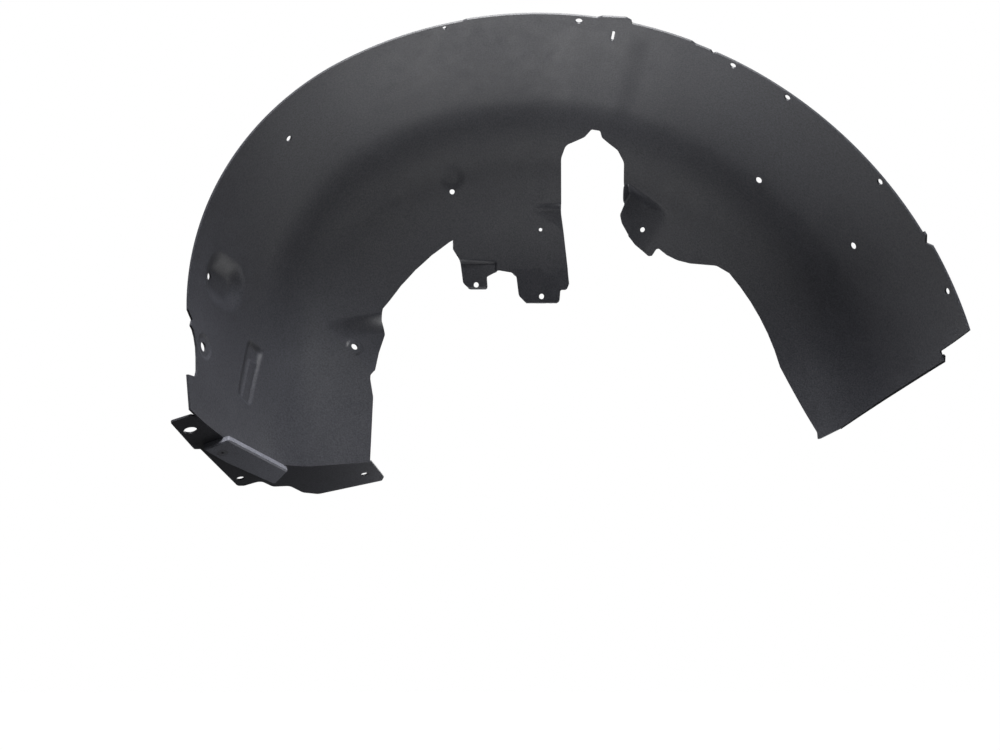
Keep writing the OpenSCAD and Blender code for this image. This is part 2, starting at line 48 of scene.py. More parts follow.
class Shade:
    """A shader socket that takes part in Python sums: a + b, 1 - a and the like add their Math nodes."""

    def __init__(self, tree, socket):
        self.tree, self.socket = tree, socket

    def math(self, operation, *values, clamp=False):
        return add_node(self.tree, "ShaderNodeMath", {"operation": operation, "use_clamp": clamp},
                        dict(enumerate(values)))

    def __add__(self, other):
        return self.math("ADD", self, other)

    def __sub__(self, other):
        return self.math("SUBTRACT", self, other)

    def __rsub__(self, other):
        return self.math("SUBTRACT", other, self)

    def __mul__(self, other):
        return self.math("MULTIPLY", self, other)

    def __truediv__(self, other):
        return self.math("DIVIDE", self, other)

    __radd__ = __add__
    __rmul__ = __mul__

    def clipped(self):
        return self.math("ADD", self, 0.0, clamp=True)

    def between(self, low, high):
        """0 below low, 1 above high, and a straight ramp from one to the other."""
        return ((self - low) / (high - low)).clipped()


def add_node(tree, kind, settings=None, sockets=None, out=0):
    """Adds one node of a kind, sets its settings, then the values or links of its sockets."""
    node = tree.nodes.new(kind)
    for key, value in (settings or {}).items():
        if key == "stops":
            ramp = node.color_ramp.elements
            while len(ramp) < len(value):
                ramp.new(0.5)
            for stop, (at, colour) in zip(ramp, value):
                stop.position, stop.color = at, colour
        else:
            setattr(node, key, value)
    for key, value in (sockets or {}).items():
        if isinstance(value, Shade):
            tree.links.new(value.socket, node.inputs[key])
        else:
            node.inputs[key].default_value = value
    return Shade(tree, node.outputs[out])


def grey(level, blue=0.0):
    """A nearly neutral linear colour, with a little more or less blue."""
    return (level, level * (1 + blue / 8), level * (1 + blue), 1.0)


def new_material(name):
    """An empty material with its Principled shader linked to the output."""
    material = bpy.data.materials.new(name)
    material.use_nodes = True
    tree = material.node_tree
    tree.nodes.clear()
    shader = tree.nodes.new("ShaderNodeBsdfPrincipled")
    output = tree.nodes.new("ShaderNodeOutputMaterial")
    tree.links.new(shader.outputs["BSDF"], output.inputs["Surface"])
    return material, tree, shader


def moulded_plastic(name, level, blue, grain_mm, grain_depth, rough):
    """Grained polypropylene: a fine grain in bump and tone, with slow drifts of tone and gloss."""
    material, tree, shader = new_material(name)
    at = add_node(tree, "ShaderNodeTexCoord", out=3)

    def noise(size_mm, detail, roughness=0.5):
        return add_node(tree, "ShaderNodeTexNoise", {"noise_dimensions": "3D"},
                        {"Vector": at, "Scale": 1000.0 / size_mm, "Detail": detail, "Roughness": roughness})

    grain = noise(grain_mm, 2.0)
    drift = noise(90.0, 3.0)
    cloud = noise(17.0, 4.0, 0.6)
    tone = (drift - 0.5) * 0.5 + (cloud - 0.5) * 0.35 + (grain - 0.5) * 2.2 + 0.5
    colour = add_node(tree, "ShaderNodeMix", {"data_type": "RGBA"},
                      {0: tone.clipped(), 6: grey(level * 0.72, blue), 7: grey(level * 1.28, blue)}, out=2)
    tree.links.new(colour.socket, shader.inputs["Base Color"])
    gloss = rough + (cloud - 0.5) * 0.16 + (drift - 0.5) * 0.12
    tree.links.new(gloss.clipped().socket, shader.inputs["Roughness"])
    bump = add_node(tree, "ShaderNodeBump", {}, {"Strength": 0.35, "Distance": grain_depth / 1000.0, "Height": grain})
    tree.links.new(bump.socket, shader.inputs["Normal"])
    shader.inputs["Specular IOR Level"].default_value = 0.5
    return material


LINER_PLASTIC = moulded_plastic("liner_plastic", 0.072, 0.2, 1.7, 0.35, 0.43)
PAD_RUBBER = moulded_plastic("pad_rubber", 0.27, 0.2, 1.2, 0.12, 0.7)
RIVET_PLASTIC = moulded_plastic("rivet_plastic", 0.22, 0.15, 0.9, 0.05, 0.42)

for node, material in (("liner", LINER_PLASTIC), ("sill_pad", PAD_RUBBER), ("pad_rivet", RIVET_PLASTIC)):
    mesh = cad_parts[node].data
    mesh.materials.clear()
    mesh.materials.append(material)


# The arch in millimetres, about the wheel's axle line, as in the part's source
CROWN_R, SILL_R, BUMPER_R = 384.5, 275.0, 414.5
BUMPER_JOINT, SILL_JOINT, SILL_END = np.radians([65.0, 122.0, 188.0])
LIP_DRAFT, ROOF_SLOPE, WALL_SLOPE = np.radians([6.0, 20.0, 64.0])
ROOF_DEPTH, SHOULDER_R, WALL = 110.0, 110.0, 2.0
ROOF_R = ROOF_DEPTH / (np.sin(ROOF_SLOPE) - np.sin(LIP_DRAFT))
ROOF_DROP = ROOF_R * (np.cos(LIP_DRAFT) - np.cos(ROOF_SLOPE))
SHOULDER_DROP = ROOF_DROP + SHOULDER_R * (np.cos(ROOF_SLOPE) - np.cos(WALL_SLOPE))
Q_ROOF = ROOF_R * (ROOF_SLOPE - LIP_DRAFT)
Q_SHOULDER = Q_ROOF + SHOULDER_R * (WALL_SLOPE - ROOF_SLOPE)
P_SILL = CROWN_R * (SILL_JOINT - BUMPER_JOINT)
P_RUN = P_SILL + SILL_R * (SILL_END - SILL_JOINT)


def polar(radius, angle):
    return np.array([radius * np.cos(angle), radius * np.sin(angle)])


JOINT_STEP = 0.3
SILL_C = polar(CROWN_R - SILL_R - JOINT_STEP, SILL_JOINT)
BUMPER_C = polar(CROWN_R - BUMPER_R + JOINT_STEP, BUMPER_JOINT)
RUN_DIR = np.array([-np.sin(SILL_END), np.cos(SILL_END)])


def ease(t):
    """0 up to 0, 1 from 1, and a smooth S between: 3 t squared less 2 t cubed."""
    t = np.clip(t, 0.0, 1.0)
    return t * t * (3 - 2 * t)


def section(q):
    """Slope, inward drop and depth at arc length q from the lip: a roof arc, a shoulder arc and a straight wall."""
    roof = LIP_DRAFT + q / ROOF_R
    bend = np.clip(ROOF_SLOPE + (q - Q_ROOF) / SHOULDER_R, ROOF_SLOPE, WALL_SLOPE)
    past = np.maximum(q - Q_SHOULDER, 0.0)
    on_roof = q < Q_ROOF
    slope = np.where(on_roof, roof, bend)
    drop = np.where(on_roof, ROOF_R * (np.cos(LIP_DRAFT) - np.cos(roof)),
                    ROOF_DROP + SHOULDER_R * (np.cos(ROOF_SLOPE) - np.cos(bend)) + past * np.sin(WALL_SLOPE))
    depth = np.where(on_roof, ROOF_R * (np.sin(roof) - np.sin(LIP_DRAFT)),
                     ROOF_DEPTH + SHOULDER_R * (np.sin(bend) - np.sin(ROOF_SLOPE)) + past * np.cos(WALL_SLOPE))
    return slope, drop, depth


def depth_to_q(depth):
    """Arc length from the lip at a depth: the section's arcs read backwards."""
    roof = np.arcsin(np.clip(np.sin(LIP_DRAFT) + depth / ROOF_R, -1, 1))
    bend = np.arcsin(np.clip(np.sin(ROOF_SLOPE) + (depth - ROOF_DEPTH) / SHOULDER_R, -1, 1))
    wall_y = ROOF_DEPTH + SHOULDER_R * (np.sin(WALL_SLOPE) - np.sin(ROOF_SLOPE))
    return np.where(depth < ROOF_DEPTH, (roof - LIP_DRAFT) * ROOF_R,
                    np.where(depth < wall_y, Q_ROOF + (bend - ROOF_SLOPE) * SHOULDER_R,
                             Q_SHOULDER + (depth - wall_y) / np.cos(WALL_SLOPE)))


def drop_to_q(drop):
    """Arc length from the lip at an inward drop."""
    roof = np.arccos(np.clip(np.cos(LIP_DRAFT) - drop / ROOF_R, -1, 1))
    bend = np.arccos(np.clip(np.cos(ROOF_SLOPE) - (drop - ROOF_DROP) / SHOULDER_R, -1, 1))
    return np.where(drop < ROOF_DROP, (roof - LIP_DRAFT) * ROOF_R,
                    np.where(drop < SHOULDER_DROP, Q_ROOF + (bend - ROOF_SLOPE) * SHOULDER_R,
                             Q_SHOULDER + (drop - SHOULDER_DROP) / np.sin(WALL_SLOPE)))


def stretch(p):
    """Arc centre, lip radius, angle and straight travel at path length p, from the bumper arc to the run."""
    p = np.asarray(p, float)
    bumper, sill = p < 0, p > P_SILL
    radius = np.where(bumper, BUMPER_R, np.where(sill, SILL_R, CROWN_R))
    angle = np.where(sill, SILL_JOINT + (np.minimum(p, P_RUN) - P_SILL) / SILL_R, BUMPER_JOINT + p / radius)
    centre = np.where(bumper[..., None], BUMPER_C, np.where(sill[..., None], SILL_C, np.zeros(2)))
    blend = JOINT_STEP * (1 - ease(np.where(bumper, -p, p - P_SILL) / 60.0))
    radius = radius + np.where(sill, blend, np.where(bumper, -blend, 0.0))
    return centre + np.maximum(p - P_RUN, 0.0)[..., None] * RUN_DIR, radius, angle


def skin_frame(p, q):
    """Point of the plain wheel face, and its axes: towards the bumper, inboard along the section, and outwards."""
    centre, radius, a = stretch(p)
    s, drop, depth = section(np.asarray(q, float))
    r = radius - drop
    point = np.stack([centre[..., 0] + r * np.cos(a), depth, centre[..., 1] + r * np.sin(a)], -1)
    along = np.stack([np.sin(a), 0 * a, -np.cos(a)], -1)
    inboard = np.stack([-np.sin(s) * np.cos(a), np.cos(s) + 0 * a, -np.sin(s) * np.sin(a)], -1)
    outward = np.stack([np.cos(s) * np.cos(a), np.sin(s) + 0 * a, np.cos(s) * np.sin(a)], -1)
    return point, along, inboard, outward


def place(kind, angle, depth):
    """Path length and section length of a place given by its stretch, angle (or drop down the run) and depth."""
    start = {"bumper": lambda a: (np.radians(a) - BUMPER_JOINT) * BUMPER_R,
             "crown": lambda a: (np.radians(a) - BUMPER_JOINT) * CROWN_R,
             "sill": lambda a: P_SILL + (np.radians(a) - SILL_JOINT) * SILL_R,
             "run": lambda down: P_RUN + down}[kind](angle)
    return float(start), float(depth_to_q(np.float64(depth)))


def seen_to_skin(xz):
    """Path and section length of points given in X and Z, on the plain wheel face."""
    x, z = xz[:, 0], xz[:, 1]

    def left_of(angle, dx, dz):
        return np.cos(angle) * dz - np.sin(angle) * dx > 0

    bumper = ~left_of(BUMPER_JOINT, x, z)
    sill = left_of(SILL_JOINT, x, z) & ~bumper
    centre = np.where(bumper[:, None], BUMPER_C, np.where(sill[:, None], SILL_C, np.zeros(2)))
    d = xz - centre
    run = sill & left_of(SILL_END, d[:, 0], d[:, 1])
    a = np.arctan2(d[:, 1], d[:, 0])
    a = np.where(a < -np.pi / 2, a + 2 * np.pi, a)
    p = np.where(bumper, (a - BUMPER_JOINT) * BUMPER_R,
                 np.where(sill, P_SILL + (a - SILL_JOINT) * SILL_R, (a - BUMPER_JOINT) * CROWN_R))
    p = np.where(run, P_RUN + d @ RUN_DIR, p)
    r = np.where(run, d @ polar(1.0, SILL_END), np.hypot(d[:, 0], d[:, 1]))
    radius = np.where(bumper, BUMPER_R, np.where(sill, SILL_R, CROWN_R))
    return np.stack([p, drop_to_q(radius - r)], 1)


def rounded(corners, steps=5):
    """An outline whose corners [x, y, radius] are turned into arcs tangent to both sides."""
    corners = [tuple(c) if len(c) == 3 else (c[0], c[1], 0.0) for c in corners]
    out = []
    for i, (x, y, radius) in enumerate(corners):
        here = np.array([x, y])
        if radius == 0:
            out.append(here)
            continue
        u = np.array(corners[i - 1][:2]) - here
        w = np.array(corners[(i + 1) % len(corners)][:2]) - here
        u, w = u / np.linalg.norm(u), w / np.linalg.norm(w)
        half = np.arccos(np.clip(u @ w, -1, 1)) / 2
        centre = here + (u + w) / np.linalg.norm(u + w) * radius / np.sin(half)
        first, last = here + u * radius / np.tan(half) - centre, here + w * radius / np.tan(half) - centre
        for k in range(steps + 1):
            turn = first * (steps - k) + last * k
            out.append(centre + radius * turn / np.linalg.norm(turn))
    return np.array(out)


def inside_by(points, outline):
    """Distance of points from an outline, positive inside: the nearest edge, signed by the crossing count."""
    a, b = outline, np.roll(outline, -1, 0)
    edge = b - a
    rel = points[:, None, :] - a
    t = np.clip((rel * edge).sum(-1) / np.maximum((edge * edge).sum(-1), 1e-12), 0, 1)
    far = np.sqrt(((rel - t[..., None] * edge) ** 2).sum(-1)).min(1)
    y = points[:, None, 1]
    crosses = ((a[:, 1] > y) != (b[:, 1] > y)) & (
        points[:, None, 0] < a[:, 0] + (y - a[:, 1]) * edge[:, 0] / np.where(edge[:, 1] == 0, 1e-12, edge[:, 1]))
    return np.where(crosses.sum(1) % 2 == 1, far, -far)


def finely(outline, step, closed=True):
    """The same outline with points at most one step apart."""
    ends = np.roll(outline, -1, 0) if closed else outline[1:]
    out = []
    for a, b in zip(outline, ends):
        n = max(1, int(np.ceil(np.linalg.norm(b - a) / step)))
        out.append(a + (b - a) * np.arange(n)[:, None] / n)
    return np.concatenate(out + ([] if closed else [outline[-1:]]))


# Recesses pressed outwards: place, mouth radius, floor radius, depth, extra length along the section
DISHES = [(place("sill", 175, 64), 29.0, 7.0, 8.0, 18.0), (place("run", 18, 31), 14.0, 9.0, 1.5, 0.0),
          (place("crown", 108.4, 171), 17.0, 5.0, 1.3, 0.0)]
PLAQUE_AT, PLAQUE_TURN = place("run", 25, 111), np.radians(22)
CHANNEL_A = np.arccos(np.array([70.5 + 38, 70.5 - 38]) / CROWN_R)
CHANNEL_P = (CHANNEL_A - BUMPER_JOINT) * CROWN_R


def on_place(p, q, at):
    """Offsets on the skin from a place: x towards the bumper and y inboard."""
    _, radius, _ = stretch(np.array([at[0]]))
    _, drop, _ = section(np.array([at[1]]))
    shrink = 1.0 if at[0] > P_RUN else (radius[0] - drop[0]) / radius[0]
    return -(p - at[0]) * shrink, q - at[1]


def pressed(p, q):
    """How far the sheet is pressed outwards: round dishes, the plaque's flat floor and the crown's channel."""
    out = np.zeros_like(p)
    for at, mouth, floor, depth, length in DISHES:
        x, y = on_place(p, q, at)
        far = np.hypot(x, y - np.clip(y, -length / 2, length / 2))
        out = np.maximum(out, depth * ease((mouth - far) / (mouth - floor)))
    x, y = on_place(p, q, PLAQUE_AT)
    u = np.cos(PLAQUE_TURN) * x + np.sin(PLAQUE_TURN) * y
    v = -np.sin(PLAQUE_TURN) * x + np.cos(PLAQUE_TURN) * y
    over = np.hypot(np.maximum(np.abs(u) - 29.5, 0), np.maximum(np.abs(v) - 5, 0))
    bar = 1.4 * ease((np.minimum(25 - np.abs(u + 8), 5.5 - np.abs(v - 2.5)) + 1) / 3)
    out = np.maximum(out, (3.4 - bar) * ease((9 - over) / 8))
    side = np.minimum(p - CHANNEL_P[0], CHANNEL_P[1] - p)
    out = np.maximum(out, 1.1 * ease((side + 14) / 28) * ease((q - 4) / 20))
    return out


SEATS = [
    (place("sill", 188, 195), 47.0, 14 / 62, (26.0, 0.15),
     [(-12, 90), (-12, -34), (2, -54, 10), (64, -19, 16), (96, 0), (96, 90)]),
    (place("crown", 85.5, 200), -56.0, 8 / 30, (11.0, 0.3), [(-8, 45), (-8, -20), (2, -28, 6), (64, 34), (64, 45)]),
    (place("bumper", 57.7, 188), 180.0, 8 / 38, (11.0, 0.3), [(-8, 20), (-8, -60), (60, -60), (60, 30), (4, 26, 6)])]


def seat_axes(seat):
    """Corner and axes of a seat's flat floor: it leaves the skin at a crease and falls away along its x."""
    (p, q), turn, fall = seat[0], np.radians(seat[1]), np.arctan(seat[2])
    corner, along, inboard, outward = (v[0] for v in skin_frame(np.array([p]), np.array([q])))
    x1 = np.cos(turn) * along + np.sin(turn) * inboard
    y1 = -np.sin(turn) * along + np.cos(turn) * inboard
    return corner, np.cos(fall) * x1 + np.sin(fall) * outward, y1, np.cos(fall) * outward - np.sin(fall) * x1


def seated(point, outward, seat):
    """Outward travel that puts a point on the seat's floor, eased out over its outline and its crease."""
    corner, x2, y2, z2 = seat_axes(seat)
    rel = point - corner
    facing = outward @ z2
    near = (facing > 0.25) & (np.linalg.norm(rel, axis=1) < 140)
    out = np.zeros(len(point))
    if near.any():
        rel, face = rel[near], facing[near]
        travel = -(rel @ z2) / face
        hit = rel + outward[near] * travel[:, None]
        x, y = hit @ x2, hit @ y2
        ramp, lead = seat[3]
        inner = inside_by(np.stack([x, y], 1), rounded(seat[4]))
        lifted = 0.5 * (travel + np.sqrt(travel * travel + 1.0))
        if seat is SEATS[0]:
            lifted = lifted - 1.3 * ease((11 - np.hypot(x - 9, y + 12)) / 3) - 0.7 * np.exp(-(x / 1.8) ** 2)
        out[near] = np.clip(lifted, -0.8, 40) * ease(inner / ramp + lead)
    return out


def lug_depth(point, x0, x1, fold_z, fold_y, back, reach):
    """Depth of a lug's face: at the fold's depth, and set back evenly below it over its reach, in its own width."""
    y = fold_y + back * np.clip((fold_z - point[:, 2]) / reach, 0, 1)
    inside = ease((point[:, 0] - x0) / 2 + 0.5) * ease((x1 - point[:, 0]) / 2 + 0.5) * ease((fold_z - point[:, 2]) / 3 + 0.7)
    deeper = np.maximum(y - point[:, 1], 0.0)
    return deeper * inside


def skin(p, q):
    """The wheel face: the plain arch, pressed out in its recesses, seats and lugs."""
    point, _, _, outward = skin_frame(p, q)
    move = pressed(p, q)
    for seat in SEATS:
        move = np.maximum(move, seated(point, outward, seat))
    point = point + outward * move[:, None]
    point[:, 1] += np.maximum(lug_depth(point, -21.0, 70.5, 192.0, 226.0, 20.0, 33.0),
                              lug_depth(point, -94.0, -44.0, 200.0, 222.0, 10.0, 26.0))
    return point


def skin_through(xz, start=None, steps=25):
    """Path and section length where the wheel face has a given X and Z, by Newton steps on the full surface."""
    at = seen_to_skin(xz) if start is None else start
    for _ in range(steps):
        here = skin(at[:, 0], at[:, 1])[:, ::2]
        dp = (skin(at[:, 0] + 0.5, at[:, 1])[:, ::2] - here) / 0.5
        dq = (skin(at[:, 0], at[:, 1] + 0.5)[:, ::2] - here) / 0.5
        miss = xz - here
        det = dp[:, 0] * dq[:, 1] - dp[:, 1] * dq[:, 0]
        det = np.where(np.abs(det) < 0.15, np.sign(det + 1e-9) * 0.15, det)
        step = np.stack([(miss[:, 0] * dq[:, 1] - miss[:, 1] * dq[:, 0]) / det,
                         (dp[:, 0] * miss[:, 1] - dp[:, 1] * miss[:, 0]) / det], 1)
        size = np.linalg.norm(step, axis=1, keepdims=True)
        at = at + step * np.minimum(1.0, 3.0 / np.maximum(size, 1e-9)) * 0.8
    miss = np.linalg.norm(skin(at[:, 0], at[:, 1])[:, ::2] - xz, axis=1)
    return at, miss


# Edges, in X and Z
EDGE_X, PANEL_Z, SLOT_X, SLOT_TOP = -184.0, 192.0, 70.5, 330.0
SLOT_L, SLOT_R, PANEL_X0 = SLOT_X - 36.75, SLOT_X + 36.75, -95.5


def arc_row(centre, radius, first, last, steps):
    a = np.radians(np.linspace(first, last, steps + 1))
    return [(centre[0] + radius * np.cos(t), centre[1] + radius * np.sin(t)) for t in a]


WINDOW = rounded(
    [(EDGE_X, -130), (EDGE_X, 28, 20), (EDGE_X - 4, 49, 2), (EDGE_X - 4, 54, 1.5), (EDGE_X + 0.5, 61, 3),
     (EDGE_X + 3, 84, 30), (EDGE_X + 8, 110, 8), (EDGE_X + 5, 124, 6), (EDGE_X + 7, 136, 4)]
    + arc_row((EDGE_X + 220, 19), 242, 149, 118, 5)
    + [(PANEL_X0, 217, 1.5), (-50, 245), (96, 245), (115, 228, 8), (123, 216, 12), (138, 201, 3), (142, 201, 1.5),
       (148, 209.5, 3), (159, 200, 10), (171, 193, 20), (185, 188, 20), (214, 182, 14)]
    + arc_row((0, 0), 285.5, 37, 12, 6) + [(300, 8, 30), (311, -18, 8), (311, -130)])
PANEL = rounded(
    [(PANEL_X0, 250), (PANEL_X0, 212, 3), (-87, 200, 5), (-84, 178, 6), (-76, 171, 5), (-54, 171, 3),
     (-55, 185, 2), (-41, 192, 6), (-25, 190, 5), (-19, 186, 3), (-16, 166, 6), (-7, 158, 5), (34, 158, 4),
     (35, 172, 2), (42.75, 172, 4), (45.75, 179, 5), (45.75, 256)])
SLOT = rounded(
    [(SLOT_L + 13, 60), (SLOT_L + 13, 170), (SLOT_L + 1, 256, 40), (SLOT_L, 312, 10), (SLOT_L + 5, 324, 8),
     (SLOT_X - 10, 330, 8), (SLOT_X - 2.5, 335.5, 3), (SLOT_X + 7.5, 333.5, 3), (SLOT_X + 10, 328, 4),
     (SLOT_R - 8, 315, 12), (SLOT_R, 303, 10), (SLOT_R + 0.5, 282, 20), (SLOT_R + 3.5, 265, 4),
     (SLOT_R - 1.5, 254, 6), (SLOT_R + 0.5, 244, 10), (SLOT_R + 8, 229), (SLOT_R + 8, 60)])
END_CUT, END_ALONG = np.array([366.0, 7.5]), polar(1.0, np.radians(35))
END_INNER = END_CUT - END_ALONG * 64 + (0, 4)
END_LINE = np.array([END_INNER - (60, 1), END_INNER, END_CUT - END_ALONG * 42, END_CUT + END_ALONG * 80])
END_STEP_Y, END_STEP_X = 43.0, 378.0
LIP_LINE = np.array([(-200, 0), (-77, 0), (-73, -1.2), (61, -1.2), (66, -4), (89, -8), (95, -5.6), (96, -1.8),
                     (156, -1.8), (160, 0), (365.9, 0), (366, -3), (500, -3)])
SILL_LINE = np.array([(-150, -6), (-37, -6), (-1, -8), (1, 9), (8, 12.5), (22, 14), (32, 14), (41, 12),
                      (47, 9), (50, 4.67), (57, 8.5), (64, 0), (470, 0)])


def lip_row():
    """The lip as section length against path length: cut depths read off by X, or by Z at the sill end, and V notches."""
    p = np.arange(-640.0, P_RUN + 140.0, 0.8)
    y = np.zeros_like(p)
    for _ in range(8):
        point = skin_frame(p, depth_to_q(y))[0]
        y = np.where(point[:, 0] < -195, np.interp(point[:, 2], *SILL_LINE.T), np.interp(point[:, 0], *LIP_LINE.T))
    for angle in (62.6, 22.6):
        y = np.maximum(y, 2.83 - np.abs(p - place("bumper", angle, 0)[0]))
    return np.stack([p, depth_to_q(y)], 1)


def end_row():
    """The bumper end as path length against section length: the slanting line, and the step near the lip."""
    q = np.arange(-16.0, 330.0, 1.5)
    q_step = float(depth_to_q(np.float64(END_STEP_Y)))
    q = np.sort(np.concatenate([q, [q_step - 0.01, q_step + 0.01]]))
    low, high = np.full_like(q, place("bumper", -16, 0)[0]), np.full_like(q, place("bumper", 30, 0)[0])
    for _ in range(40):
        middle = (low + high) / 2
        point = skin_frame(middle, q)[0]
        line = np.interp(point[:, 0], *END_LINE.T)
        line = np.where(q < q_step, 42 - 6 * point[:, 1] / END_STEP_Y, line)
        above = point[:, 2] > line
        low, high = np.where(above, low, middle), np.where(above, middle, high)
    return np.stack([low, q], 1)


FLANGE_Z = -35.0
FLANGE_X = float((SILL_C + polar(SILL_R, SILL_END) + RUN_DIR * (
    (FLANGE_Z - (SILL_C + polar(SILL_R, SILL_END))[1]) / RUN_DIR[1]))[0])
DIP, ROLL = np.radians([14.5, 16.7])
FLANGE_AXES = (np.array([[np.cos(ROLL), 0, -np.sin(ROLL)], [0, 1, 0], [np.sin(ROLL), 0, np.cos(ROLL)]])
               @ np.array([[1, 0, 0], [0, np.cos(DIP), np.sin(DIP)], [0, -np.sin(DIP), np.cos(DIP)]]))
FLANGE_AT = np.array([FLANGE_X, 0.0, FLANGE_Z])
FLANGE = rounded(
    [(-24, 5, 3), (-24, 65, 3), (-19, 68, 2), (-15, 167, 6), (-9, 171, 3), (9, 171, 8), (16, 193, 10),
     (32, 203, 12), (40, 229, 14), (54, 245, 10), (127, 259, 2), (131, 251, 2), (126, 202), (-4, 4)])


def bottom_row():
    """Where the skin meets the flange's lower face, as path length against section length."""
    q = np.arange(-16.0, 400.0, 1.5)
    low, high = np.full_like(q, P_RUN - 30), np.full_like(q, P_RUN + 260)
    for _ in range(40):
        middle = (low + high) / 2
        above = (skin(middle, q) - FLANGE_AT) @ FLANGE_AXES[:, 2] > 0
        low, high = np.where(above, middle, low), np.where(above, high, middle)
    return np.stack([low, q], 1)


def ring(at, radius, steps=28):
    """A round hole on the skin about a place."""
    _, lip_radius, _ = stretch(np.array([at[0]]))
    _, drop, _ = section(np.array([at[1]]))
    shrink = 1.0 if at[0] > P_RUN else (lip_radius[0] - drop[0]) / lip_radius[0]
    t = np.linspace(0, 2 * np.pi, steps, endpoint=False)
    return np.stack([at[0] + radius * np.cos(t) / shrink, at[1] + radius * np.sin(t)], 1)


def seat_ring(seat, x, y, radius, steps=28):
    """A round hole square to a seat's floor."""
    corner, x2, y2, _ = seat_axes(seat)
    t = np.linspace(0, 2 * np.pi, steps, endpoint=False)
    points = corner + np.outer(x + radius * np.cos(t), x2) + np.outer(y + radius * np.sin(t), y2)
    return skin_through(points[:, ::2])[0]


def lug_ring(x, z, radius, steps=28):
    t = np.linspace(0, 2 * np.pi, steps, endpoint=False)
    return skin_through(np.stack([x + radius * np.cos(t), z + radius * np.sin(t)], 1))[0]


def slit_ring():
    """The drain slit in the channel: two half circles joined by straight sides."""
    p, q = place("crown", 78, 15)
    t = np.linspace(0, np.pi, 9)
    return np.concatenate([np.stack([p + 1.5 * np.cos(t), q + 11 + 1.5 * np.sin(t)], 1),
                           np.stack([p - 1.5 * np.cos(t), q - 1.5 * np.sin(t)], 1)])


HOLES = ([ring(place("crown", 83.6, 6), 3.75), ring(place("crown", 104.5, 4), 2.25, 20), slit_ring()]
         + [ring(place("bumper", a, 6), 3.25) for a in (59.3, 50.4, 33, 15.6)]
         + [ring(place("bumper", 47.2, 116), 3.75), ring(place("bumper", 28.9, 86), 3.75)]
         + [ring(place("sill", 138.9, 46), 3.25), ring(place("sill", 175, 48), 3.75), ring(place("run", 18, 31), 5.0)]
         + [ring(place("crown", 109.3, 178), 3.0), ring(place("crown", 87.6, 204), 2.0, 20)]
         + [seat_ring(SEATS[0], 9, -12, 4.0), seat_ring(SEATS[2], 17.5, -6, 3.0)]
         + [lug_ring(12, 165, 3.0), lug_ring(-68, 176, 3.0)])


def triangulate(points, chains, loops, epsilon=1e-3):
    """Delaunay triangles over points in a plane, with chains and closed loops kept as edges."""
    every, edges, count = [points], [], len(points)
    for row, closed in [(c, False) for c in chains] + [(c, True) for c in loops]:
        ids = np.arange(count, count + len(row))
        edges.append(np.stack([ids, np.roll(ids, -1)], 1)[:None if closed else -1])
        every.append(row)
        count += len(row)
    flat = [mathutils.Vector(v) for v in np.concatenate(every).tolist()]
    made = mathutils.geometry.delaunay_2d_cdt(flat, np.concatenate(edges).tolist(), [], 0, epsilon, False)
    return np.array([tuple(v) for v in made[0]]), np.array(made[2])


def apart(points, rows, gap):
    """Which points lie further than a gap from every point of the rows."""
    tree = mathutils.kdtree.KDTree(sum(len(r) for r in rows))
    index = 0
    for row in rows:
        for x, y in row.tolist():
            tree.insert((x, y, 0.0), index)
            index += 1
    tree.balance()
    return np.array([tree.find((x, y, 0.0))[2] > gap for x, y in points.tolist()])


def sheet(points, triangles, outward=None):
    """A closed sheet from wheel-side points and triangles: both faces, a wall apart, and the rim between them."""
    used, triangles = np.unique(triangles, return_inverse=True)
    triangles, points = triangles.reshape(-1, 3), points[used]
    n = len(points)
    if outward is None:
        a, b, c = (points[triangles[:, k]] for k in range(3))
        facing = np.cross(c - a, b - a)
        outward = np.zeros_like(points)
        for k in range(3):
            np.add.at(outward, triangles[:, k], facing)
        outward /= np.linalg.norm(outward, axis=1, keepdims=True)
    back = points + WALL * outward
    sides = np.concatenate([triangles[:, [0, 1]], triangles[:, [1, 2]], triangles[:, [2, 0]]])
    key = sides[:, 0] * (n + 1) + sides[:, 1]
    alone = sides[~np.isin(key, sides[:, 1] * (n + 1) + sides[:, 0])]
    rim = np.stack([alone[:, 1], alone[:, 0], alone[:, 0] + n, alone[:, 1] + n], 1)
    return np.concatenate([points, back]), [triangles, triangles[:, ::-1] + n, rim]


